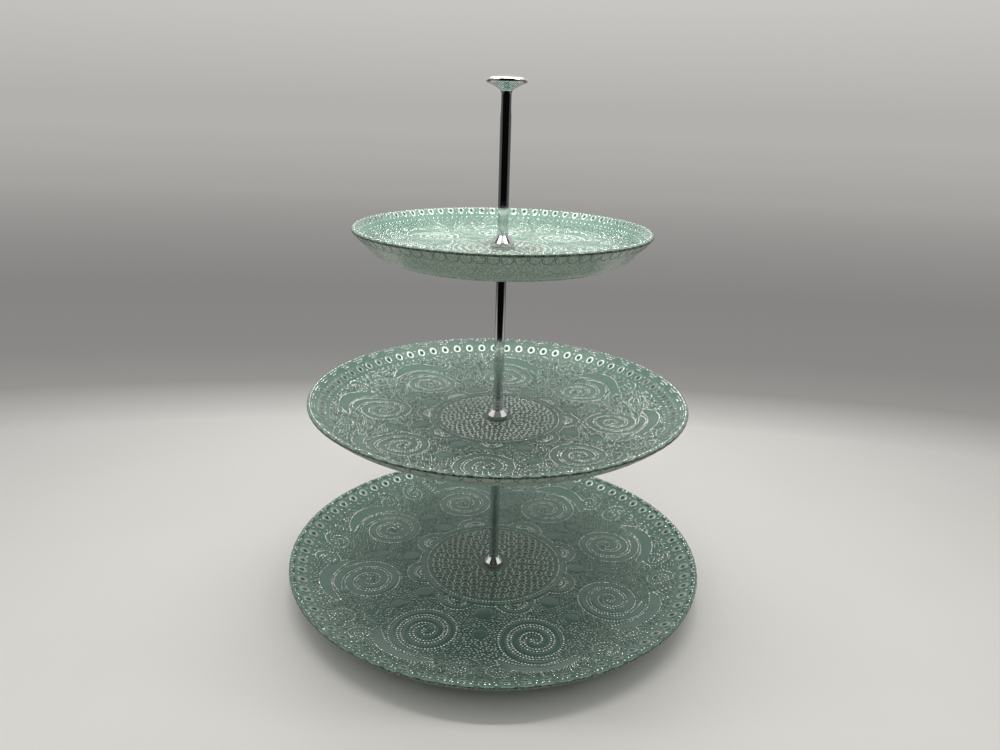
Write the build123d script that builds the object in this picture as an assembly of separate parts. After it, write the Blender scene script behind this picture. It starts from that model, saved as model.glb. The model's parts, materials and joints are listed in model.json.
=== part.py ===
from build123d import *
import os
from math import cos, radians, sin, tan

# Three-tier cake stand: coupe plates of pressed glass, clamped between turned metal posts.
# Millimetres. The posts stand on the Z axis, and the bottom plate's foot ring rests on z = 0.

# Glass plates
bottom_rim_radius = 160.0
middle_rim_radius = 139.5
top_rim_radius = 104.0
bottom_depth = 15.3  # height of the rim over the floor inside
middle_depth = 20.1
top_depth = 15.1
bottom_wall_angle = 27.0  # slope of the wall under the lip, in degrees from the floor
middle_wall_angle = 41.0
top_wall_angle = 48.0
bottom_wall_straight = 18.0  # stretch of the wall inside that is straight, between the lip and the bend
middle_wall_straight = 3.0
top_wall_straight = 14.0
bottom_medallion_radius = 57.0  # pressed ring round the middle of the floor
middle_medallion_radius = 50.0
top_medallion_radius = 37.0
glass_thickness = 4.5
rim_thickness = 3.0
ridge_width = 2.4
ridge_height = 0.5
plate_hole_radius = 4.0
plate_hole_chamfer = 0.4
foot_width = 4.5
foot_taper = 0.45  # sideways slant of the foot ring's flanks, per unit of height
foot_set_in = 0.5  # from the outer bend's start to the foot ring
foot_edge_radius = 0.6
upper_foot_height = 2.0

# Soft gaskets over and under each plate
gasket_thickness = 1.5
gasket_radius = 7.0
upper_gasket_radius = 8.6
under_gasket_radius = 8.0

# Posts
post_radius = 3.85
post_length = 117.2
handle_length = 97.9
post_end_chamfer = 0.3

# Collars
collar_radius = 7.3
collar_top_radius = 4.4
collar_band = 0.7
collar_cone = 3.8
collar_sole = 1.8
upper_collar_radius = 8.4
upper_collar_band = 2.8
upper_collar_cone = 4.4
upper_collar_sole = 3.4
upper_collar_groove = 0.6
upper_collar_groove_width = 0.5
collar_edge_radius = 0.25

# Finial
finial_neck_radius = 3.75
finial_radius = 13.9
finial_flare_height = 5.7
finial_waist_radius = 5.7
finial_waist_height = 2.6
finial_rim_height = 3.6
finial_rim_bulge = 1.4
finial_flare_slope = 0.3  # rise of the flare where it meets the rim
finial_thread_length = 6.0
finial_dome_height = 1.7

# Threaded studs, seat washers and the screw under the base
thread_radius = 2.5
thread_fit = 0.03  # radial room between a stud and its bore
stud_clearance = 0.25  # radial room in washers, gaskets and collars
stud_hold = 12.0  # length of a stud that stays in the post below it
thread_engagement = 8.0  # length that screws into the post above
bore_tip_clearance = 1.0
thread_chamfer = 0.5
seat_radius = 8.0
seat_thickness = 1.5
seat_edge_radius = 0.4
base_washer_radius = 9.0
base_washer_thickness = 1.2
screw_head_radius = 6.5
screw_head_height = 2.2
screw_head_edge = 0.8
screw_slot_width = 1.4
screw_slot_depth = 1.0
base_clearance = 0.6  # the screw's head over the table
collar_fit = 0.05  # radial room between a post and its collar

# Heights, from the table up
bottom_foot_height = gasket_thickness + base_washer_thickness + screw_head_height + base_clearance
bottom_underside = bottom_foot_height
lower_collar_z = bottom_underside + glass_thickness + gasket_thickness
lower_post_z = lower_collar_z + collar_sole
middle_seat_z = lower_post_z + post_length
middle_underside = middle_seat_z + seat_thickness + gasket_thickness
middle_collar_z = middle_underside + glass_thickness + gasket_thickness
middle_post_z = middle_collar_z + collar_sole
top_seat_z = middle_post_z + post_length
top_underside = top_seat_z + seat_thickness + gasket_thickness
upper_collar_z = top_underside + glass_thickness + gasket_thickness
upper_post_z = upper_collar_z + upper_collar_sole
finial_z = upper_post_z + handle_length

thread_bore_radius = thread_radius + thread_fit
stud_hole_radius = thread_radius + stud_clearance
blind_bore = thread_engagement + bore_tip_clearance


def turned(section):
    """Solid of revolution about the Z axis; the section's x is radius and its y is height."""
    return revolve(Plane.XZ * section, Axis.Z)


def corner(sketch, x, y):
    """The sketch's vertex nearest to a point of the section."""
    return sketch.vertices().sort_by_distance((x, y, 0))[0]


def outline(*points):
    """Closed section through (radius, height) points."""
    return make_face(Polyline(*points, close=True).edges())


def ring(inner_radius, outer_radius, z, thickness):
    """Flat washer or gasket."""
    return turned(outline((inner_radius, z), (outer_radius, z),
                          (outer_radius, z + thickness), (inner_radius, z + thickness)))


def coupe_plate(rim_radius, depth, wall_angle, wall_straight, foot_height, medallion_radius, underside_z):
    """Pressed plate: flat floor with a ringed middle, upswept wall, round lip and a foot ring."""
    slope = radians(wall_angle)
    lip = rim_thickness / 2
    along = Vector(cos(slope), sin(slope))
    across = Vector(sin(slope), -cos(slope))
    lip_centre = Vector(rim_radius - lip, glass_thickness + depth - lip)
    inside = lip_centre - across * lip
    outside = lip_centre + across * lip
    floor_end = inside.X - (inside.Y - glass_thickness) / tan(slope)
    base_end = outside.X - outside.Y / tan(slope)
    slant = (inside - Vector(floor_end, glass_thickness)).length
    inner_bend = (slant - wall_straight) / tan(slope / 2)
    outer_bend = inner_bend + rim_thickness
    flank = foot_taper * foot_height
    foot_outer = base_end - outer_bend * tan(slope / 2) - foot_set_in
    foot_inner = foot_outer - 2 * flank - foot_width
    ridge_in = medallion_radius - ridge_width / 2
    ridge_out = medallion_radius + ridge_width / 2

    with BuildSketch() as section:
        with BuildLine():
            Polyline(
                (plate_hole_radius, 0),
                (foot_inner, 0),
                (foot_inner + flank, -foot_height),
                (foot_outer - flank, -foot_height),
                (foot_outer, 0),
                (base_end, 0),
                (outside.X, outside.Y),
            )
            ThreePointArc(outside, lip_centre + along * lip, inside)
            Polyline((inside.X, inside.Y), (floor_end, glass_thickness), (ridge_out, glass_thickness))
            ThreePointArc(
                (ridge_out, glass_thickness),
                (medallion_radius, glass_thickness + ridge_height),
                (ridge_in, glass_thickness),
            )
            Polyline((ridge_in, glass_thickness), (plate_hole_radius, glass_thickness), (plate_hole_radius, 0))
        make_face()
        fillet(corner(section, floor_end, glass_thickness), inner_bend)
        fillet(corner(section, base_end, 0), outer_bend)
        fillet(corner(section, foot_outer - flank, -foot_height), foot_edge_radius)
        fillet(corner(section, foot_inner + flank, -foot_height), foot_edge_radius)
        chamfer(corner(section, plate_hole_radius, glass_thickness), plate_hole_chamfer)
        chamfer(corner(section, plate_hole_radius, 0), plate_hole_chamfer)
    return Pos(0, 0, underside_z) * turned(section.sketch)


def post(z, length, bottom_bore, top_bore):
    """Plain round post with a threaded bore in each end."""
    top = z + length
    return turned(outline(
        (0, z + bottom_bore),
        (thread_bore_radius, z + bottom_bore),
        (thread_bore_radius, z),
        (post_radius - post_end_chamfer, z),
        (post_radius, z + post_end_chamfer),
        (post_radius, top - post_end_chamfer),
        (post_radius - post_end_chamfer, top),
        (thread_bore_radius, top),
        (thread_bore_radius, top - top_bore),
        (0, top - top_bore),
    ))


def collar(z):
    """Small cone that caps the lower end of a post, with a socket for the post."""
    top = z + collar_band + collar_cone
    socket = post_radius + collar_fit
    with BuildSketch() as section:
        with BuildLine():
            Polyline(
                (stud_hole_radius, z),
                (collar_radius, z),
                (collar_radius, z + collar_band),
                (collar_top_radius, top),
                (socket, top),
                (socket, z + collar_sole),
                (stud_hole_radius, z + collar_sole),
                close=True,
            )
        make_face()
        fillet(corner(section, collar_radius, z + collar_band), collar_edge_radius)
    return turned(section.sketch)


def banded_collar(z):
    """The handle's wider collar: a cone over a rounded band, with a groove between them."""
    band_top = z + upper_collar_band
    top = band_top + upper_collar_groove_width + upper_collar_cone
    socket = post_radius + collar_fit
    groove = upper_collar_radius - upper_collar_groove
    with BuildSketch() as section:
        with BuildLine():
            Polyline(
                (stud_hole_radius, z),
                (upper_collar_radius, z),
                (upper_collar_radius, band_top),
                (groove, band_top + upper_collar_groove_width / 2),
                (upper_collar_radius, band_top + upper_collar_groove_width),
                (collar_top_radius, top),
                (socket, top),
                (socket, z + upper_collar_sole),
                (stud_hole_radius, z + upper_collar_sole),
                close=True,
            )
        make_face()
        fillet(corner(section, upper_collar_radius, z), upper_collar_band / 3)
        fillet(corner(section, upper_collar_radius, band_top), collar_edge_radius)
    return turned(section.sketch)


def trumpet_finial(z):
    """Knob that flares from the post to a round rim under a low dome, with a threaded bore below."""
    rim_low = z + finial_flare_height
    rim_high = rim_low + finial_rim_height
    top = rim_high + finial_dome_height
    rim_start = finial_radius - finial_rim_bulge
    dome_radius = (rim_start**2 + finial_dome_height**2) / (2 * finial_dome_height)
    bore_top = z + finial_thread_length
    with BuildSketch() as section:
        with BuildLine():
            Polyline((0, top), (0, bore_top), (thread_bore_radius, bore_top),
                     (thread_bore_radius, z), (finial_neck_radius, z))
            Spline(
                (finial_neck_radius, z),
                (finial_waist_radius, z + finial_waist_height),
                (rim_start, rim_low),
                tangents=((0, 1), (1, finial_flare_slope)),
            )
            ThreePointArc(
                (rim_start, rim_low), (finial_radius, (rim_low + rim_high) / 2), (rim_start, rim_high))
            RadiusArc((rim_start, rim_high), (0, top), -dome_radius)
        make_face()
    return turned(section.sketch)


def stud(z, length):
    """Threaded stud, as a plain cylinder of the thread's outer size with chamfered tips."""
    return turned(outline(
        (0, z),
        (thread_radius - thread_chamfer, z),
        (thread_radius, z + thread_chamfer),
        (thread_radius, z + length - thread_chamfer),
        (thread_radius - thread_chamfer, z + length),
        (0, z + length),
    ))


def seat(z):
    """Metal washer that spreads a post's end under the glass."""
    with BuildSketch() as section:
        with BuildLine():
            Polyline((stud_hole_radius, z), (seat_radius, z), (seat_radius, z + seat_thickness),
                     (stud_hole_radius, z + seat_thickness), close=True)
        make_face()
        fillet(corner(section, seat_radius, z), seat_edge_radius)
    return turned(section.sketch)


def slotted_screw():
    """Low slotted screw under the bottom plate, up into the lower post."""
    head_top = base_clearance + screw_head_height
    tip = lower_post_z + thread_engagement
    with BuildSketch() as section:
        with BuildLine():
            Polyline(
                (0, base_clearance),
                (screw_head_radius, base_clearance),
                (screw_head_radius, head_top),
                (thread_radius, head_top),
                (thread_radius, tip - thread_chamfer),
                (thread_radius - thread_chamfer, tip),
                (0, tip),
                close=True,
            )
        make_face()
        fillet(corner(section, screw_head_radius, base_clearance), screw_head_edge)
    slot = Pos(0, 0, base_clearance) * Box(
        2 * screw_head_radius, screw_slot_width, screw_slot_depth,
        align=(Align.CENTER, Align.CENTER, Align.MIN),
    )
    return turned(section.sketch) - slot


def plate_stack(name, underside_z, over_radius, **shape):
    """A plate of the given shape and the soft gaskets over and under it."""
    floor_z = underside_z + glass_thickness
    return {
        f"{name}_plate": coupe_plate(underside_z=underside_z, **shape),
        f"{name}_gasket_over": ring(stud_hole_radius, over_radius, floor_z, gasket_thickness),
        f"{name}_gasket_under": ring(
            stud_hole_radius, under_gasket_radius, underside_z - gasket_thickness, gasket_thickness),
    }


def through_stud(seat_z, sole):
    """Stud held in the post under a seat washer and reaching through the plate into the post above."""
    through = seat_thickness + 2 * gasket_thickness + glass_thickness + sole
    return stud(seat_z - stud_hold, stud_hold + through + thread_engagement)


parts = {}
parts |= plate_stack(
    "bottom", bottom_underside, gasket_radius,
    rim_radius=bottom_rim_radius, depth=bottom_depth,
    wall_angle=bottom_wall_angle, wall_straight=bottom_wall_straight,
    foot_height=bottom_foot_height, medallion_radius=bottom_medallion_radius,
)
parts |= plate_stack(
    "middle", middle_underside, gasket_radius,
    rim_radius=middle_rim_radius, depth=middle_depth,
    wall_angle=middle_wall_angle, wall_straight=middle_wall_straight,
    foot_height=upper_foot_height, medallion_radius=middle_medallion_radius,
)
parts |= plate_stack(
    "top", top_underside, upper_gasket_radius,
    rim_radius=top_rim_radius, depth=top_depth,
    wall_angle=top_wall_angle, wall_straight=top_wall_straight,
    foot_height=upper_foot_height, medallion_radius=top_medallion_radius,
)
parts["base_screw"] = slotted_screw()
parts["base_washer"] = ring(
    stud_hole_radius, base_washer_radius, base_clearance + screw_head_height, base_washer_thickness)
parts["lower_collar"] = collar(lower_collar_z)
parts["lower_post"] = post(lower_post_z, post_length, blind_bore, stud_hold)
parts["lower_stud"] = through_stud(middle_seat_z, collar_sole)
parts["middle_seat"] = seat(middle_seat_z)
parts["middle_collar"] = collar(middle_collar_z)
parts["middle_post"] = post(middle_post_z, post_length, blind_bore, stud_hold)
parts["upper_stud"] = through_stud(top_seat_z, upper_collar_sole)
parts["top_seat"] = seat(top_seat_z)
parts["upper_collar"] = banded_collar(upper_collar_z)
parts["upper_post"] = post(upper_post_z, handle_length, blind_bore, stud_hold)
parts["finial_stud"] = stud(finial_z - stud_hold, stud_hold + finial_thread_length)
parts["finial"] = trumpet_finial(finial_z)

os.makedirs("parts", exist_ok=True)
for name, solid in parts.items():
    solid.label = name
    export_step(solid, f"parts/{name}.step")
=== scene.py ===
import bpy
import json
import numpy as np
from math import cos, pi, radians, sin
from mathutils import Matrix, Vector
from mathutils.bvhtree import BVHTree


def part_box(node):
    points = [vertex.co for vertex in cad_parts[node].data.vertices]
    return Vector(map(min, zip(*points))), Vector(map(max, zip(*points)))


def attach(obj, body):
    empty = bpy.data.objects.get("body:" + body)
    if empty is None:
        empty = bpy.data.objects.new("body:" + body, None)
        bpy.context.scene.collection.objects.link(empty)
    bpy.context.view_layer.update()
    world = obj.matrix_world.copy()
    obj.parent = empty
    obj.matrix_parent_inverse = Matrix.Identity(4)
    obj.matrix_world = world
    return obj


# Looks of the three-tier cake stand: pressed glass with a teal painted back, and chromed posts.
# The frame is in metres; the pressed pattern is drawn in millimetres for a plate of drawn_rim radius.

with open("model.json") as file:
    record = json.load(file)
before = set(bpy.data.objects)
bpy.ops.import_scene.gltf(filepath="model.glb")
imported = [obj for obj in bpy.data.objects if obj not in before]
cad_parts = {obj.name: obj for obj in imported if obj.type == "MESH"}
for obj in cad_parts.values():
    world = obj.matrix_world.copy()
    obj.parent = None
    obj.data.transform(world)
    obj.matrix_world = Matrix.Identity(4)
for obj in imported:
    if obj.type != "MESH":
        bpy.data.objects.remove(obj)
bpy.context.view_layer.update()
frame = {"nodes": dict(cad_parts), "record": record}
nodes = frame["nodes"]
scene = bpy.context.scene
scene.view_settings.view_transform = "Standard"
rng = np.random.default_rng(7)

# Pattern: eight equal sectors, each with a large scroll in its middle.
# Distances are from the post; tips are the path points over which the two ends are rounded off.
sectors = 8
sector_angle = 2 * pi / sectors
drawn_rim = 160.0

scroll_centre = 100.0
scroll_start = 3.0
scroll_end = 25.0
scroll_pitch = 8.8
scroll_first_angle = radians(200)
scroll_half_width = 2.45
scroll_tips = (6, 24)
crescent_radius = 33.5
crescent_half_width = 4.0
crescent_ends = (radians(-66), radians(40))
crescent_tips = (36, 36)
curl_centre = 131.5
curl_angles = (radians(-14.4), radians(18.2))
curl_start = 2.0
curl_end = 9.6
curl_pitch = 6.0
curl_half_width = 1.4
curl_tips = (4, 14)
petal_centre = 55.0
petal_radius = 12.5
petal_half_width = 2.0
petal_span = radians(100)
petal_tips = (5, 5)
petal_stroke_centre = petal_centre + 1.0
petal_stroke_radii = (4.6, 7.4)
petal_stroke_half_width = 0.7
petal_stroke_tips = (4, 4)
medallion_ring = 56.3
medallion_half_width = 2.3
medallion_rows = ((46.5, 40), (39.0, 32), (31.5, 24), (24.0, 16), (16.5, 16))  # distance, ring count
medallion_ring_radius = 2.8
medallion_ring_half_width = 0.55
medallion_ring_height = 0.5
medallion_ring_points = 14
spot_places = ((67.0, 7.2), (91.0, 5.6))  # distance, radius
spot_sides = 28
leaf_tip = (126.5, radians(9.5))
leaf_ends = ((141.0, radians(12.0)), (137.5, radians(0.5)))
leaf_half_width = 0.2
leaf_points = 20
flower = (139.0, radians(6.2))
flower_radius = 1.9
flower_beads = 6
donuts_per_sector = 9
donut_phase = radians(1.1)
donut_radius = 2.85
donut_half_width = 1.25
donut_height = 0.5
donut_points = 24
donut_bead_offsets = (-2.6, 2.6)  # pairs of beads between the donuts
inner_bead_gap = 6.4  # from the donuts to the row of beads inside them
rim_parts_per_sector = 10  # rings on the outer wall and dashes along the lip
scale_ring = 152.6
scale_length = 6.9  # half lengths down the wall and along the rim
scale_width = 5.4
scale_half_width = 0.38
scale_height = 0.2
scale_points = 32
dash_ring = 156.3
dash_half_angle = radians(0.9)
dash_half_width = 0.6
dash_tips = (2, 2)
dash_bead_shares = (0.38, 0.62)  # of the way from one dash to the next
rim_bead_ring = 157.6
rim_beads_per_sector = 30
rim_bead_pitch = radians(1.5)
tufts_per_sector = 6  # clusters of beads under the lip
tuft_rows = ((155.8, 2), (154.0, 1))  # distance, beads on each side of the middle one
tuft_step = radians(0.9)

band_height = 0.45
patch_height = 0.1
dark_height = 0.12  # bosses as low as this stay dark, in the painted shade of a bead's foot
bead_radius = 0.74
bead_height = 0.58
bead_sides = 6
bead_pitch = 2.25
row_clearance = 0.5 * bead_radius  # from beads in rows to the figures
ground_clearance = 0.9 * bead_radius  # from scattered beads to the figures
ground_spacing = 1.7 * bead_radius  # from scattered beads to those in rows
stipple_start = 9.0
stipple_gap = 7.5  # to the donuts
stipple_pitch = 2.5
stipple_row_pitch = 0.866 * stipple_pitch
wander = 0.3  # how far beads stray from their even places, as a share of the pitch
path_step = 0.8
fewest_arc_points = 8
spiral_first = 0.002  # share of the way along a spiral where its path begins

# How a plate's faces are read from the frame, in millimetres
metre = 1000
inner_reach = (0.04, 0.996)  # shares of the rim's radius
inner_readings = 400
foot_room = 6.5  # the outer wall is read down to this height over the foot
lip_room = 0.05  # and from this far under the lip
outer_readings = 200
ray_side = 0.3  # rays run this far beside the axis
uv_margin = 1.01

# Cross-sections of a pressed band, from edge to edge: (share of the half width, share of the height)
round_band = np.array([(-1.0, -0.3), (-0.78, 0.62), (-0.35, 1.0), (0.35, 1.0), (0.78, 0.62), (1.0, -0.3)])
flat_band = np.array([(-1.0, -0.3), (-0.9, 0.8), (-0.75, 1.0), (0.75, 1.0), (0.9, 0.8), (1.0, -0.3)])
# Rings of a boss, from outside in: (share of the radius, share of the height)
bead_rings = ((1.4, -0.02), (1.0, 0.1), (0.72, 0.9))
spot_rings = ((1.0, -0.3), (0.93, 0.6), (0.7, 0.95), (0.35, 1.0))

# Colours, as pairs of a dark and a light tone
teal = ((0.165, 0.3, 0.25), (0.195, 0.345, 0.29))
medallion_shade = ((0.175, 0.25, 0.208), (0.22, 0.305, 0.255))
outer_wall = ((0.35, 0.45, 0.38), (0.7, 0.79, 0.7))
lip_edge = ((0.04, 0.07, 0.055), (0.2, 0.28, 0.24))
# Painted shade: the dark tones round the foot of each bead
painted_shade_at_bead_foot = ((0.06, 0.1, 0.08), (0.12, 0.18, 0.15))
# Donuts: paler than the paint, partly the tint of their silvery look and partly painted highlight for the
# glints they catch
donut_silver_and_painted_highlight = ((0.36, 0.46, 0.41), (0.44, 0.54, 0.49))
scale_tones = ((0.1, 0.15, 0.125), (0.17, 0.235, 0.2))
gasket_tones = ((0.52, 0.53, 0.5), (0.62, 0.63, 0.6))
cloth_tones = ((0.74, 0.735, 0.72), (0.76, 0.755, 0.74))
# Single colours; white, pale, silver, grey, dim and teal_grey serve as the tones of painted glints and
# highlights on beads and rings
chrome = (0.7, 0.7, 0.71)
steel = (0.55, 0.55, 0.56)
white = (0.93, 1.0, 0.96)
pale = (0.7, 0.76, 0.72)
silver = (0.5, 0.57, 0.53)
grey = (0.38, 0.45, 0.41)
dim = (0.28, 0.34, 0.31)
teal_grey = (0.2, 0.29, 0.25)

# Glass and metal: where the zones of a plate begin and are full, and how things shine
medallion_zone = (1.05, 0.7)  # shares of the medallion's radius
lip_zone = (0.0022, 0.0018)  # metres under the rim
outer_lean = (0, 0, -0.6)  # the outer wall faces outwards, and down by this
outer_zone = (0.0, 0.2)  # of how much a face looks that way
edge_zone = (0.35, 0.55)
# Where a bead's painted shade at the foot gives way to its painted glint on top
bead_zone = (0.2 * bead_height, 0.45 * bead_height)
plate_shine = 0.35
medallion_shine = 0.25
bead_shine = (0.1, 0.5)  # at the foot and on top
bead_chance = (0.1, 0.7)  # share of the beads that are dull, and share beyond which they are bright with a painted glint
mottle_zone = (0.2, 0.6)  # light to dark over a spot of the outer wall, in shares of its size
ring_mirror = 0.9  # how silvery the paint behind looks
donut_mirror = 0.5
glass_index = 1.5
glass_spread = (0.8, 1.25)  # shares of the roughness between which it wanders
metal_spread = (0.7, 1.4)
gasket_roughness = (0.4, 0.55)
metal_dull = 0.9  # share of the colour in the duller patches of metal
turning_marks = (40, 40, 4000)  # how fine they are along X, Y and the post

# Floor, in metres
floor_radius = 40.0
floor_sides = 96
floor_drop = 0.0002
cloth_roughness = 0.9
cloth_shine = 0.1
glow_colour = (1.0, 0.985, 0.96)
glow_strength = 0.125
glow_zone = (0.137, 0.16)  # distances from the post; there is none under the stand
fade_stretch = (0.4, 1, 1)  # the floor reaches further to the sides
fade_zone = (0.33, 0.46)
tone_reach = 10.0
# Backdrop over the floor's end, by shares of tone_reach
backdrop_tones = (
    (0.04, (0.32, 0.315, 0.30)),
    (0.06, (0.25, 0.247, 0.24)),
    (0.10, (0.235, 0.232, 0.227)),
    (0.19, (0.305, 0.30, 0.29)),
    (0.28, (0.37, 0.365, 0.35)),
    (0.50, (0.42, 0.41, 0.395)),
    (1.00, (0.45, 0.44, 0.425)),
)
# What mirrors see along the floor, from before the stand (0) to behind it (1)
dark_room = (
    (0.27, (0.003, 0.003, 0.003)),
    (0.36, (0.1, 0.1, 0.097)),
    (0.85, (0.13, 0.13, 0.125)),
    (0.97, (0.36, 0.355, 0.34)),
)

# Light of the world, by the parts of a direction: X to the sides, Y to the back, Z up.
# A zone is where one colour begins to give way to the next, and where it has.
backdrop_zone = (0.0, 0.12)
backdrop_low = (0.45, 0.44, 0.425)
backdrop_high = (0.58, 0.57, 0.55)
depth_zone = (-0.5, 0.5)  # soft light from front to back
soft_front = (0.2, 0.199, 0.195)
soft_back = (0.56, 0.557, 0.546)
side_zone = (0.45, 0.9)  # and to the sides
soft_side = (0.18, 0.179, 0.175)
room_zone = (-0.45, -0.1)  # mirrors see a dark room before the stand
room_dark = (0.004, 0.004, 0.004)
wall_zone = (0.45, 0.65)  # and a brighter wall at the back
wall_dim = (0.12, 0.119, 0.115)
wall_bright = (0.65, 0.64, 0.62)
panel_zone = (0.62, 0.68)  # with white panels at the sides
panel_foot = (0.2, 0.3)
panel_white = (1.0, 0.99, 0.97)
ceiling_zone = (0.6, 0.8)
ceiling_front = (0.25, 0.247, 0.24)
ceiling_middle = (0.1, 0.099, 0.095)
strip_zone = (-0.46, -0.36)  # white strip across the ceiling
strip_end = (-0.24, -0.14)
strip_white = (1.0, 0.99, 0.97)
rear_zone = (0.2, 0.32)  # white rear of the ceiling
rear_white = (0.95, 0.94, 0.92)

# Lamps: places in metres, sizes as width and depth, power in watts
lamp_colour = (1.0, 0.96, 0.91)
key_place = (0, 0.17, 0.63)
key_target = (0, 0.05, 0.1)
key_size = (0.4, 0.24)
key_power = 1.1
side_lamp_offset = 0.15
side_lamp_y = -0.06
side_lamp_height = 0.64
side_lamp_target_height = 0.1
side_lamp_size = (0.06, 0.4)
side_lamp_power = 0.9

# Camera, fitted to the rims in the photo
camera_place = (0, -0.5392, 0.3608)
camera_pitch = radians(19.35)
camera_yaw = radians(0.108)
camera_roll = radians(1.644)
camera_lens = 27.64
camera_sensor = 36.0


def polar(radius, angle):
    """Plan points from distances and angles."""
    return np.stack([radius * np.cos(angle), radius * np.sin(angle)], axis=-1)


def smooth_ends(count, head, tail):
    """Factors from 0 to 1 and back that round off the two ends of a path of that many points."""
    along = np.arange(count)
    rise = np.clip((along + 0.5) / max(head, 1), 0, 1)
    fall = np.clip((count - along - 0.5) / max(tail, 1), 0, 1)
    return np.sqrt(1 - (1 - rise) ** 2) * np.sqrt(1 - (1 - fall) ** 2)


def spiral(centre, start, end, pitch, first_angle, hand):
    """Path that winds outwards at an even pitch."""
    turn = 2 * pi * (end - start) / pitch
    count = int(turn * (start + end) / 2 / path_step)
    angle = turn * np.sqrt(np.linspace(spiral_first, 1, count))
    return centre + polar(start + pitch * angle / (2 * pi), first_angle + hand * angle)


def arc(centre, radius, first, last):
    """Path along part of a circle."""
    count = max(int(abs(last - first) * radius / path_step), fewest_arc_points)
    return centre + polar(radius, np.linspace(first, last, count))


def circle(centre, radius, count):
    """Points evenly round a circle."""
    return centre + polar(radius, np.arange(count) * 2 * pi / count)


def turned(path, angle):
    """A path turned about the post."""
    return path @ np.array([[cos(angle), sin(angle)], [-sin(angle), cos(angle)]])


def oval(distance, angle, length, width, count):
    """Oval path round a place, length along the radius and width across it."""
    around = circle(np.zeros(2), 1.0, count) * (length, width)
    return turned(around + (distance, 0.0), angle)


def even_angles(count, phase=0.0):
    """Angles that share out one sector."""
    return (np.arange(count) + 0.5) / count * sector_angle - sector_angle / 2 + phase


def across(path, closed=False):
    """Unit vectors to the left of each point of a path."""
    if closed:
        run = np.roll(path, -1, axis=0) - np.roll(path, 1, axis=0)
    else:
        run = np.gradient(path, axis=0)
    run = run / np.linalg.norm(run, axis=1, keepdims=True)
    return np.stack([-run[:, 1], run[:, 0]], axis=1)


def edge_beads(path, half_width):
    """Bead centres along both edges of a band."""
    side = across(path)
    half = np.broadcast_to(half_width, len(path))[:, None]
    rows = []
    for sign in (-1, 1):
        edge = path + sign * side * (half + bead_radius)
        run = np.concatenate([[0], np.cumsum(np.linalg.norm(np.diff(edge, axis=0), axis=1))])
        count = max(int(run[-1] / bead_pitch), 2)
        places = np.linspace(0, run[-1], count)
        rows.append(np.stack([np.interp(places, run, part) for part in edge.T], axis=1))
    return np.concatenate(rows)


def clear_of(points, paths, margin):
    """Which of the points are clear of every path of (points, half width)."""
    keep = np.ones(len(points), bool)
    for path, half in paths:
        gap = np.linalg.norm(points[:, None, :] - path[None], axis=2) - np.broadcast_to(half, len(path))
        keep &= gap.min(axis=1) > margin
    return keep


class Relief:
    """One pressed layer: points are (x, y, height over the glass) in millimetres."""

    def __init__(self):
        self.points = []
        self.faces = []
        self.count = 0

    def add(self, points, faces):
        self.points.append(points)
        self.faces.append(faces + self.count)
        self.count += len(points)

    def band(self, path, half_width, closed=False, height=band_height, section=round_band):
        """A smooth ridge along a path."""
        count, wide = len(path), len(section)
        side = across(path, closed)
        half = np.broadcast_to(half_width, count)[:, None, None]
        plan = path[:, None, :] - side[:, None, :] * half * section[None, :, :1]
        up = np.broadcast_to(height * section[:, 1], (count, wide))
        points = np.concatenate([plan, up[..., None]], axis=2).reshape(-1, 3)
        rows = np.arange(count if closed else count - 1)[:, None]
        cols = np.arange(wide - 1)[None, :]
        first = rows * wide + cols
        ahead = (rows + 1) % count * wide + cols
        faces = np.stack([first, first + 1, ahead + 1, ahead], axis=-1).reshape(-1, 4)
        self.add(points, faces[:, ::-1])

    def domes(self, centres, radius, height, sides=bead_sides, rings=bead_rings):
        """Round bosses, each of rings of (share of the radius, share of the height) under a tip."""
        around = circle(np.zeros(2), 1.0, sides)
        layers = []
        for share, up in rings:
            plan = centres[:, None, :] + around[None] * radius * share
            layers.append(np.concatenate([plan, np.full((*plan.shape[:2], 1), up * height)], axis=2))
        tip = np.concatenate([centres, np.full((len(centres), 1), height)], axis=1)
        points = np.concatenate([*layers, tip[:, None, :]], axis=1)
        size = points.shape[1]
        low = np.arange(sides)
        on = (low + 1) % sides
        faces = []
        for ring in range(len(rings) - 1):
            base = ring * sides
            faces.append(np.stack([base + low, base + on, base + sides + on, base + sides + low], axis=1))
        base = (len(rings) - 1) * sides
        top = np.full(sides, size - 1)
        faces.append(np.stack([base + low, base + on, top, top], axis=1))
        one = np.concatenate(faces)
        every = np.arange(len(centres))[:, None, None] * size + one[None]
        self.add(points.reshape(-1, 3), every.reshape(-1, 4))

    def mesh(self, name, surface, scale, turn):
        """The layer turned into every sector and laid on a glass surface, in metres."""
        flat = np.concatenate(self.points)
        plan, up = flat[:, :2] * scale, flat[:, 2] * scale
        plan = np.concatenate([turned(plan, turn + k * sector_angle) for k in range(sectors)])
        radius = np.linalg.norm(plan, axis=1)
        reach, z = surface(radius, np.tile(up, sectors))
        plan *= (reach / radius)[:, None]
        faces = np.concatenate(self.faces)
        faces = np.concatenate([faces + k * len(flat) for k in range(sectors)])
        mesh = bpy.data.meshes.new(name)
        corners = [list(dict.fromkeys(face)) for face in faces.tolist()]
        mesh.from_pydata((np.column_stack([plan, z]) / metre).tolist(), [], corners)
        mesh.shade_smooth()
        lift = mesh.attributes.new("lift", "FLOAT", "POINT")
        lift.data.foreach_set("value", np.tile(flat[:, 2], sectors))
        layout = mesh.uv_layers.new(name="OFBake")
        loops = np.zeros(len(mesh.loops), np.int64)
        mesh.loops.foreach_get("vertex_index", loops)
        layout.data.foreach_set("uv", (plan[loops] / (2 * uv_margin * reach.max()) + 0.5).ravel())
        return mesh


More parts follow.
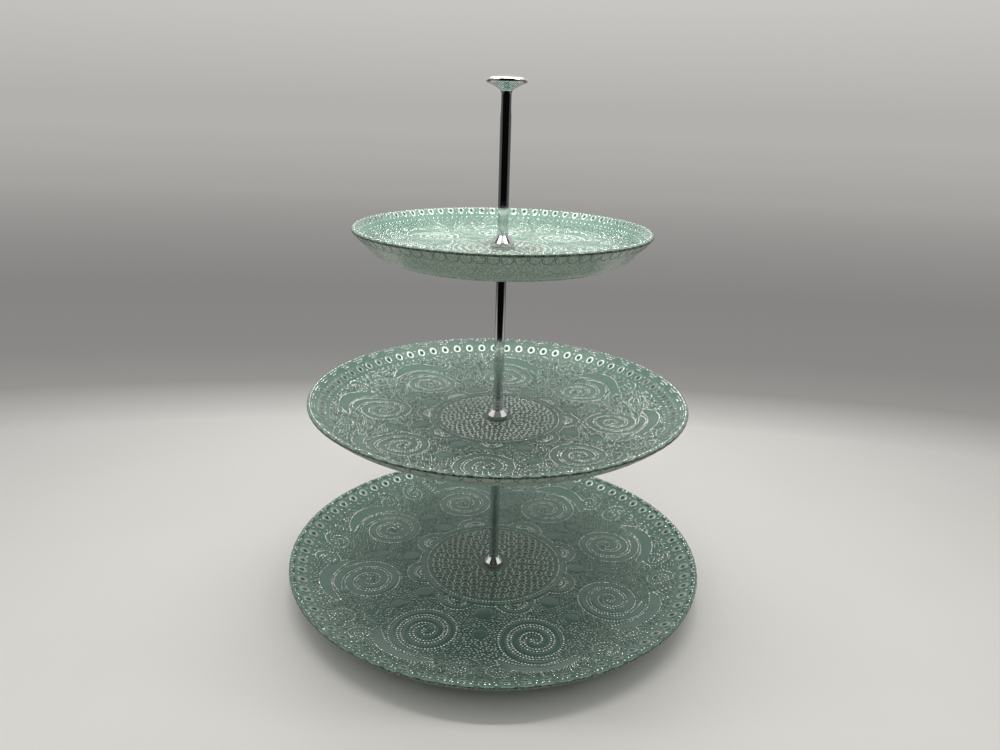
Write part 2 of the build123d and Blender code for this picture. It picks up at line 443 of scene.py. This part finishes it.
class Plate:
    """A glass plate: its sizes and the heights of its two faces, read from the frame, in millimetres."""

    def __init__(self, name, turn, donut_ring, lip, bead_painted_light_tones, ground_painted_light_tones, ring_painted_light_tones):
        node = nodes[f"{name}_plate"]
        low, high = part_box(f"{name}_plate")
        self.name = name
        self.turn = turn
        self.lip = lip
        # Tones of painted light for beads, ground and rings, set for each plate by how much light falls on
        # it
        self.bead_painted_light_tones = bead_painted_light_tones
        self.ground_painted_light_tones = ground_painted_light_tones
        self.ring_painted_light_tones = ring_painted_light_tones
        self.rim = metre * (high.x - low.x) / 2
        self.scale = self.rim / drawn_rim
        self.donut_ring = donut_ring * drawn_rim
        self.tree = BVHTree.FromObject(node, bpy.context.evaluated_depsgraph_get())
        start, end = inner_reach
        self.radii = np.linspace(start * self.rim, end * self.rim, inner_readings)
        above = 2 * metre * high.z
        self.tops = np.array([self.meet((r, ray_side, above), (0, 0, -1)).z for r in self.radii])
        self.levels = np.linspace(metre * high.z - lip_room, metre * low.z + foot_room, outer_readings)
        self.walls = np.array([self.meet((2 * self.rim, ray_side, z), (-1, 0, 0)).x for z in self.levels])
        steps = np.hypot(np.diff(self.walls), np.diff(self.levels))
        self.runs = np.concatenate([[0], np.cumsum(steps)])

    def meet(self, start, way):
        """Where a ray meets the glass."""
        return metre * self.tree.ray_cast(Vector(start) / metre, Vector(way))[0]

    def inside(self, radius, up):
        """Place on the inner face, raised by up: distance from the post and height."""
        return radius, np.interp(radius, self.radii, self.tops) + up

    def outside(self, radius, up):
        """Place down the outer face, as far from the lip as the drawn radius is from the rim."""
        run = self.rim - radius
        return np.interp(run, self.runs, self.walls) + up, np.interp(run, self.runs, self.levels)


def smooth_bands():
    """The smooth figures of one sector, as (path, half width, height)."""
    bands = []
    centre = np.array([scroll_centre, 0.0])
    path = spiral(centre, scroll_start, scroll_end, scroll_pitch, scroll_first_angle, 1)
    bands.append((path, scroll_half_width * smooth_ends(len(path), *scroll_tips), band_height))
    path = arc(centre, crescent_radius, *crescent_ends)
    bands.append((path, crescent_half_width * smooth_ends(len(path), *crescent_tips), patch_height))
    for angle, hand in zip(curl_angles, (1, -1)):
        path = spiral(polar(curl_centre, angle), curl_start, curl_end, curl_pitch, -hand * pi / 2, hand)
        bands.append((path, curl_half_width * smooth_ends(len(path), *curl_tips), band_height))
    path = arc(np.array([petal_centre, 0.0]), petal_radius, -petal_span, petal_span)
    bands.append((path, petal_half_width * smooth_ends(len(path), *petal_tips), band_height))
    path = arc(np.zeros(2), medallion_ring, -sector_angle / 2, sector_angle / 2)
    bands.append((path, np.full(len(path), medallion_half_width), band_height))
    return bands


def bead_rows(plate):
    """Centres of the beads that stand in rows: along leaves, round the flower, by donuts and at the rim."""
    places = []
    tip = polar(*leaf_tip)
    for end in leaf_ends:
        places.append(edge_beads(np.linspace(tip, polar(*end), leaf_points), leaf_half_width))
    places.append(circle(polar(*flower), flower_radius, flower_beads))
    between = donut_phase + sector_angle / donuts_per_sector / 2
    for out in donut_bead_offsets:
        places.append(polar(plate.donut_ring + out, even_angles(donuts_per_sector, between)))
    places.append(polar(plate.donut_ring - inner_bead_gap, even_angles(2 * donuts_per_sector)))
    if plate.lip == "tufts":
        for distance, count in tuft_rows:
            for k in range(-count, count + 1):
                places.append(polar(distance, even_angles(tufts_per_sector, k * tuft_step)))
    if plate.lip == "dashes":
        for share in dash_bead_shares:
            phase = share * sector_angle / rim_parts_per_sector
            places.append(polar(dash_ring, even_angles(rim_parts_per_sector, phase)))
    stray = rng.uniform(-wander, wander, rim_beads_per_sector) * rim_bead_pitch
    places.append(polar(rim_bead_ring, even_angles(rim_beads_per_sector) + stray))
    return places


def stipple(plate, taken, rows):
    """Centres of the scattered beads that fill the ground between the figures."""
    end = plate.donut_ring - stipple_gap
    y = np.arange(-end, end, stipple_row_pitch)
    x = np.arange(stipple_start, end, stipple_pitch)
    grid = np.stack(np.meshgrid(x, y), axis=-1)
    grid[1::2, :, 0] += stipple_pitch / 2
    grid = grid.reshape(-1, 2)
    grid = grid + rng.uniform(-wander, wander, grid.shape) * stipple_pitch
    distance = np.linalg.norm(grid, axis=1)
    angle = np.arctan2(grid[:, 1], grid[:, 0])
    grid = grid[(distance > medallion_ring) & (distance < end) & (np.abs(angle) < sector_angle / 2)]
    grid = grid[clear_of(grid, taken, ground_clearance)]
    near = np.linalg.norm(grid[:, None, :] - rows[None], axis=2).min(axis=1)
    return grid[near > ground_spacing]


def dress(plate):
    """Lays the pressed pattern on a plate."""
    figures, beads, ground, rings, donuts, scales = (Relief() for _ in range(6))
    taken = []
    places = bead_rows(plate)
    for path, half, height in smooth_bands():
        figures.band(path, half, height=height)
        places.append(edge_beads(path, half))
        taken += [(turned(path, k * sector_angle), half) for k in (-1, 0, 1)]
    for distance, radius in spot_places:
        place = polar(distance, np.array([sector_angle / 2]))
        figures.domes(place, radius, band_height, spot_sides, spot_rings)
        taken += [(place, radius), (turned(place, -sector_angle), radius)]
    for distance, count in medallion_rows:
        for angle in even_angles(count // sectors):
            path = circle(polar(distance, angle), medallion_ring_radius, medallion_ring_points)
            rings.band(path, medallion_ring_half_width, True, medallion_ring_height)
            taken.append((path, medallion_ring_half_width))
    for radius in petal_stroke_radii:
        path = arc(np.array([petal_stroke_centre, 0.0]), radius, -petal_span, petal_span)
        half = petal_stroke_half_width * smooth_ends(len(path), *petal_stroke_tips)
        rings.band(path, half, height=medallion_ring_height)
        taken.append((path, petal_stroke_half_width))
    for angle in even_angles(donuts_per_sector, donut_phase):
        middle = polar(plate.donut_ring, angle)
        path = circle(middle, donut_radius, donut_points)
        donuts.band(path, donut_half_width, True, donut_height, flat_band)
        beads.domes(middle[None], donut_radius - donut_half_width, dark_height)
        taken.append((middle[None], donut_radius + donut_half_width))
    for angle in even_angles(rim_parts_per_sector):
        path = oval(scale_ring, angle, scale_length, scale_width, scale_points)
        scales.band(path, scale_half_width, True, scale_height)
        if plate.lip == "dashes":
            path = arc(np.zeros(2), dash_ring, angle - dash_half_angle, angle + dash_half_angle)
            beads.band(path, dash_half_width * smooth_ends(len(path), *dash_tips), height=dark_height)
    rows = np.concatenate(places)
    rows = rows[clear_of(rows, taken, row_clearance)]
    beads.domes(rows, bead_radius, bead_height)
    ground.domes(stipple(plate, taken, rows), bead_radius, bead_height)

    bead_look = bead_painted_light_glass(f"{plate.name}_bead_glass", *plate.bead_painted_light_tones)
    ground_look = bead_painted_light_glass(f"{plate.name}_ground_glass", *plate.ground_painted_light_tones)
    # The rings' pale tones are painted highlight, dimmer on plates that get less light
    ring_look = smooth_glass(f"{plate.name}_ring_glass", *plate.ring_painted_light_tones, mirror=ring_mirror)
    body = "base" if plate.name == "bottom" else f"{plate.name}_plate"
    for layer, name, surface, material in (
        (figures, "figures", plate.inside, figure_glass),
        (beads, "beads", plate.inside, bead_look),
        (ground, "ground", plate.inside, ground_look),
        (rings, "rings", plate.inside, ring_look),
        (donuts, "donuts", plate.inside, donut_glass),
        (scales, "scales", plate.outside, scale_glass),
    ):
        mesh = layer.mesh(f"{plate.name}_{name}", surface, plate.scale, plate.turn)
        mesh.materials.append(material)
        piece = bpy.data.objects.new(mesh.name, mesh)
        scene.collection.objects.link(piece)
        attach(piece, body)


class NodeTree:
    """Short ways to build the nodes of a material or a world."""

    def __init__(self, owner):
        owner.use_nodes = True
        self.owner = owner
        self.all = owner.node_tree.nodes
        self.links = owner.node_tree.links
        self.shader = self.all.get("Principled BSDF")

    def new(self, kind, **settings):
        """A node with constants on its sockets and its own settings."""
        node = self.all.new(f"ShaderNode{kind}")
        for key, value in settings.items():
            if key in node.inputs:
                node.inputs[key].default_value = value
            else:
                setattr(node, key, value)
        return node

    def link(self, out, into):
        self.links.new(out, into)

    def put(self, value, socket):
        """Gives a socket a constant colour or vector, or another node's output."""
        if not isinstance(value, tuple):
            self.link(value, socket)
        elif socket.type == "RGBA":
            socket.default_value = (*value, 1)
        else:
            socket.default_value = value

    def place(self):
        return self.new("TexCoord").outputs["Object"]

    def noise(self, scale, detail=3.0, vector=None):
        node = self.new("TexNoise", Scale=scale, Detail=detail)
        self.link(vector or self.place(), node.inputs["Vector"])
        return node.outputs["Fac"]

    def ramp(self, factor, *stops):
        """Colours at positions along a factor."""
        node = self.new("ValToRGB")
        elements = node.color_ramp.elements
        while len(elements) < len(stops):
            elements.new(0.5)
        for element, (position, colour) in zip(elements, stops):
            element.position = position
            element.color = (*colour, 1)
        self.link(factor, node.inputs["Fac"])
        return node.outputs["Color"]

    def patchy(self, tones, scale, blend, detail=3.0):
        """A colour that wanders between two tones; blend is the part of the noise where they mix."""
        return self.ramp(self.noise(scale, detail), *zip(blend, tones))

    def span(self, factor, low, high, first=0.0, last=1.0):
        """A factor between first and last brought to low and high."""
        node = self.new("MapRange")
        node.inputs["From Min"].default_value = first
        node.inputs["From Max"].default_value = last
        node.inputs["To Min"].default_value = low
        node.inputs["To Max"].default_value = high
        self.link(factor, node.inputs["Value"])
        return node.outputs["Result"]

    def mix(self, factor, first, second):
        """Blends two colours, each a constant or an output."""
        node = self.new("Mix", data_type="RGBA")
        self.link(factor, node.inputs["Factor"])
        self.put(first, node.inputs["A"])
        self.put(second, node.inputs["B"])
        return node.outputs["Result"]

    def number(self, operation, *values):
        """A step of arithmetic on outputs."""
        node = self.new("Math", operation=operation)
        for value, socket in zip(values, node.inputs):
            self.link(value, socket)
        return node.outputs["Value"]

    def vector(self, operation, first, second=None):
        """A step of vector arithmetic, which gives a number for a length or a product."""
        node = self.new("VectorMath", operation=operation)
        self.link(first, node.inputs[0])
        if second is not None:
            self.put(second, node.inputs[1])
        return node.outputs["Value" if operation in ("LENGTH", "DOT_PRODUCT") else "Vector"]

    def axis(self, vector, name):
        """One part of a vector."""
        node = self.new("SeparateXYZ")
        self.link(vector, node.inputs["Vector"])
        return node.outputs[name]

    def bump(self, height, strength, distance):
        node = self.new("Bump", Strength=strength, Distance=distance)
        self.link(height, node.inputs["Height"])
        self.link(node.outputs["Normal"], self.shader.inputs["Normal"])

    def seen(self):
        """1 on rays from the camera, off mirrors and through glass, 0 on rays that gather light."""
        path = self.new("LightPath")
        total = path.outputs["Is Camera Ray"]
        for kind in ("Is Glossy Ray", "Is Transmission Ray"):
            total = self.number("MAXIMUM", total, path.outputs[kind])
        return total


def new_material(name):
    return NodeTree(bpy.data.materials.new(name))


def fine_gloss(tree, roughness, grain, depth):
    """Slightly uneven gloss of glass over a fine grain."""
    low, high = glass_spread
    gloss = tree.span(tree.noise(scale=300), roughness * low, roughness * high)
    tree.link(gloss, tree.shader.inputs["Roughness"])
    tree.bump(tree.noise(scale=grain), strength=0.3, distance=depth)
    tree.shader.inputs["IOR"].default_value = glass_index


def painted(tree, tones):
    """Soft clouds of the painted back."""
    return tree.patchy(tones, scale=55, blend=(0.35, 0.65), detail=4.0)


def plate_glass(name, rim_height, medallion):
    """Teal paint seen through the glass, greyer in the medallion; mottled outer wall and uneven dark lip."""
    tree = new_material(name)
    flat = tree.vector("MULTIPLY", tree.place(), (1, 1, 0))
    edge, full = medallion_zone
    middle = tree.span(tree.vector("LENGTH", flat), 1, 0, full * medallion, edge * medallion)
    shade = tree.patchy(medallion_shade, scale=600, blend=(0.35, 0.65))
    inside = tree.mix(middle, painted(tree, teal), shade)
    shine = tree.span(middle, plate_shine, medallion_shine)
    tree.link(shine, tree.shader.inputs["Specular IOR Level"])

    out = tree.vector("ADD", tree.vector("NORMALIZE", flat), outer_lean)
    facing = tree.vector("DOT_PRODUCT", out, tree.new("NewGeometry").outputs["Normal"])
    spots = tree.new("TexVoronoi", Scale=850)
    tree.link(tree.place(), spots.inputs["Vector"])
    dark, light = outer_wall
    mottled = tree.ramp(spots.outputs["Distance"], *zip(mottle_zone, (light, dark)))
    colour = tree.mix(tree.span(facing, 0, 1, *outer_zone), inside, mottled)

    start, full = lip_zone
    lip = tree.span(tree.axis(tree.place(), "Z"), 0, 1, rim_height - start, rim_height - full)
    line = tree.number("MULTIPLY", tree.span(facing, 0, 1, *edge_zone), lip)
    rim = tree.patchy(lip_edge, scale=500, blend=(0.42, 0.58))
    tree.link(tree.mix(line, colour, rim), tree.shader.inputs["Base Color"])
    fine_gloss(tree, roughness=0.22, grain=700, depth=0.0002)
    return tree.owner


def smooth_glass(name, dark, light, mirror=0.0):
    """Figures and rings pressed smooth; mirror is how silvery the paint behind them looks."""
    tree = new_material(name)
    tree.link(painted(tree, (dark, light)), tree.shader.inputs["Base Color"])
    tree.shader.inputs["Metallic"].default_value = mirror
    fine_gloss(tree, roughness=0.13, grain=700, depth=0.0001)
    return tree.owner


def bead_painted_light_glass(name, dull, bright):
    """Small bosses: painted glints on top, brighter on some beads than others, and painted shade round the
    foot.
    """
    tree = new_material(name)
    chance = tree.new("NewGeometry").outputs["Random Per Island"]
    # Painted glints on top, brighter on some beads than others
    top = tree.ramp(chance, *zip(bead_chance, (dull, bright)))
    # Painted shade round the foot
    painted_foot_shade = tree.ramp(chance, *zip((0.0, 1.0), painted_shade_at_bead_foot))
    lift = tree.new("Attribute", attribute_name="lift").outputs["Fac"]
    up = tree.span(lift, 0, 1, *bead_zone)
    tree.link(tree.mix(up, painted_foot_shade, top), tree.shader.inputs["Base Color"])
    tree.link(up, tree.shader.inputs["Metallic"])
    tree.link(tree.span(up, *bead_shine), tree.shader.inputs["Specular IOR Level"])
    fine_gloss(tree, roughness=0.14, grain=2500, depth=0.0001)
    return tree.owner


def polished_metal(name, colour, roughness):
    """Plated or plain metal with faint turning marks."""
    tree = new_material(name)
    shader = tree.shader
    shader.inputs["Metallic"].default_value = 1.0
    dull = tuple(metal_dull * c for c in colour)
    tone = tree.patchy((dull, colour), scale=40, blend=(0.3, 0.7))
    tree.link(tone, shader.inputs["Base Color"])
    stretch = tree.new("Mapping", Scale=turning_marks)
    tree.link(tree.place(), stretch.inputs["Vector"])
    marks = tree.noise(scale=1.0, detail=2.0, vector=stretch.outputs["Vector"])
    low, high = metal_spread
    tree.link(tree.span(marks, roughness * low, roughness * high), shader.inputs["Roughness"])
    tree.bump(marks, strength=0.15, distance=0.00002)
    return tree.owner


def soft_gasket():
    """Plastic ring, nearly matt."""
    tree = new_material("gasket_plastic")
    tint = tree.patchy(gasket_tones, scale=400, blend=(0.3, 0.7))
    tree.link(tint, tree.shader.inputs["Base Color"])
    tree.link(tree.span(tree.noise(scale=900), *gasket_roughness), tree.shader.inputs["Roughness"])
    tree.bump(tree.noise(scale=1500), strength=0.2, distance=0.0001)
    return tree.owner


def wear(node, material):
    """Gives a node one material."""
    node.data.materials.clear()
    node.data.materials.append(material)


figure_glass = smooth_glass("figure_glass", *teal)
# Donuts paler than the paint: partly painted highlight
donut_glass = smooth_glass("donut_glass", *donut_silver_and_painted_highlight, mirror=donut_mirror)
scale_glass = smooth_glass("scale_glass", *scale_tones)
finishes = {
    "chrome": polished_metal("chrome_plate", chrome, roughness=0.06),
    "steel": polished_metal("plain_steel", steel, roughness=0.28),
    "gasket": soft_gasket(),
}
for part in frame["record"]["subparts"]:
    if part["material_slot"] in finishes:
        wear(nodes[part["node"]], finishes[part["material_slot"]])

# Name, turn of the pattern, the donuts' share of the rim's radius, lip, and tones of beads, ground and
# rings; these tones are painted glints and highlights, dimmer or brighter on each plate to suit the light it
# gets
for plate in (
    Plate("bottom", radians(17.4), 0.94, "dashes", (silver, white), (teal_grey, silver), (dim, grey)),
    Plate("middle", radians(-4.0), 0.926, "tufts", (silver, white), (teal_grey, pale), (silver, pale)),
    Plate("top", radians(4), 0.962, "plain", (grey, pale), (teal_grey, grey), (dim, silver)),
):
    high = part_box(f"{plate.name}_plate")[1].z
    medallion = medallion_ring * plate.scale / metre
    wear(nodes[f"{plate.name}_plate"], plate_glass(f"{plate.name}_glass", high, medallion))
    dress(plate)


def studio_floor():
    """Pale floor that takes the shadow, glows faintly clear of it and fades into a grey backdrop."""
    mesh = bpy.data.meshes.new("floor")
    ring = [(*p, 0.0) for p in circle(np.zeros(2), floor_radius, floor_sides).tolist()]
    mesh.from_pydata(ring, [], [list(range(floor_sides))])
    floor = bpy.data.objects.new("floor", mesh)
    floor.location.z = -floor_drop
    scene.collection.objects.link(floor)

    tree = new_material("floor_cloth")
    shader = tree.shader
    place = tree.place()
    seen = tree.seen()
    tree.link(tree.patchy(cloth_tones, scale=9, blend=(0.3, 0.7)), shader.inputs["Base Color"])
    shader.inputs["Roughness"].default_value = cloth_roughness
    shader.inputs["Specular IOR Level"].default_value = cloth_shine
    shader.inputs["Emission Color"].default_value = (*glow_colour, 1)
    shine = tree.span(tree.vector("LENGTH", place), 0, glow_strength, *glow_zone)
    tree.link(tree.number("MULTIPLY", shine, seen), shader.inputs["Emission Strength"])

    wide = tree.new("Mapping", Scale=fade_stretch)
    tree.link(place, wide.inputs["Vector"])
    away = tree.vector("LENGTH", wide.outputs["Vector"])
    tone = tree.ramp(tree.span(away, 0, 1, 0, tone_reach), *backdrop_tones)
    back = tree.axis(tree.vector("NORMALIZE", place), "Y")
    room = tree.ramp(tree.span(back, 0, 1, -1, 1), *dark_room)
    glossy = tree.new("LightPath").outputs["Is Glossy Ray"]
    far = tree.new("Emission")
    tree.link(tree.mix(glossy, tone, room), far.inputs["Color"])
    blend = tree.new("MixShader")
    share = tree.number("MULTIPLY", tree.span(away, 0, 1, *fade_zone), seen)
    tree.link(share, blend.inputs["Fac"])
    tree.link(shader.outputs["BSDF"], blend.inputs[1])
    tree.link(far.outputs["Emission"], blend.inputs[2])
    tree.link(blend.outputs["Shader"], tree.all["Material Output"].inputs["Surface"])
    mesh.materials.append(tree.owner)


def studio_world():
    """Soft light, strongest from behind; the camera sees a pale backdrop and mirrors see a room."""
    world = bpy.data.worlds.new("studio")
    scene.world = world
    tree = NodeTree(world)
    way = tree.new("TexCoord").outputs["Generated"]
    aside = tree.number("ABSOLUTE", tree.axis(way, "X"))
    back = tree.axis(way, "Y")
    up = tree.axis(way, "Z")

    def change(along, zone, first, second):
        """One colour before a zone and another after it."""
        return tree.mix(tree.span(along, 0, 1, *zone), first, second)

    backdrop = change(up, backdrop_zone, backdrop_low, backdrop_high)
    soft = change(back, depth_zone, soft_front, soft_back)
    soft = change(aside, side_zone, soft, soft_side)
    wall = change(back, wall_zone, wall_dim, wall_bright)
    level = change(back, room_zone, room_dark, wall)
    panel = change(up, panel_foot, level, panel_white)
    level = change(aside, panel_zone, level, panel)
    front = change(back, strip_zone, ceiling_front, strip_white)
    rear = change(back, rear_zone, ceiling_middle, rear_white)
    ceiling = change(back, strip_end, front, rear)
    mirrored = change(up, ceiling_zone, level, ceiling)
    path = tree.new("LightPath")
    lit = tree.mix(path.outputs["Is Glossy Ray"], soft, mirrored)
    background = tree.all["Background"]
    tree.link(tree.mix(path.outputs["Is Camera Ray"], lit, backdrop), background.inputs["Color"])
    background.inputs["Strength"].default_value = 1.0


def lamp(name, place, target, size, power):
    """Soft lamp of a width and a depth."""
    data = bpy.data.lights.new(name, "AREA")
    data.shape = "RECTANGLE"
    data.size, data.size_y = size
    data.energy = power
    data.color = lamp_colour
    light = bpy.data.objects.new(name, data)
    light.location = place
    light.rotation_euler = (Vector(target) - Vector(place)).to_track_quat("-Z", "Y").to_euler()
    light.visible_camera = False
    scene.collection.objects.link(light)


def studio_lamps():
    """A key lamp over the stand and a narrow one to each side of it."""
    lamp("key", key_place, key_target, key_size, key_power)
    for side in (-1, 1):
        place = (side_lamp_offset * side, side_lamp_y, side_lamp_height)
        target = (0, side_lamp_y, side_lamp_target_height)
        lamp("strip", place, target, side_lamp_size, side_lamp_power)


def photo_camera():
    """Camera at the photo's place."""
    pitch, yaw, roll = camera_pitch, camera_yaw, camera_roll
    ahead = Vector((sin(yaw) * cos(pitch), cos(yaw) * cos(pitch), -sin(pitch)))
    level = Vector((cos(yaw), -sin(yaw), 0))
    upright = level.cross(ahead)
    right = level * cos(roll) + upright * sin(roll)
    up = upright * cos(roll) - level * sin(roll)
    data = bpy.data.cameras.new("camera")
    data.sensor_width = camera_sensor
    data.lens = camera_lens
    camera = bpy.data.objects.new("camera", data)
    turn = Matrix((right, up, -ahead)).transposed()
    camera.matrix_world = Matrix.Translation(camera_place) @ turn.to_4x4()
    scene.collection.objects.link(camera)
    scene.camera = camera


studio_floor()
studio_world()
studio_lamps()
photo_camera()
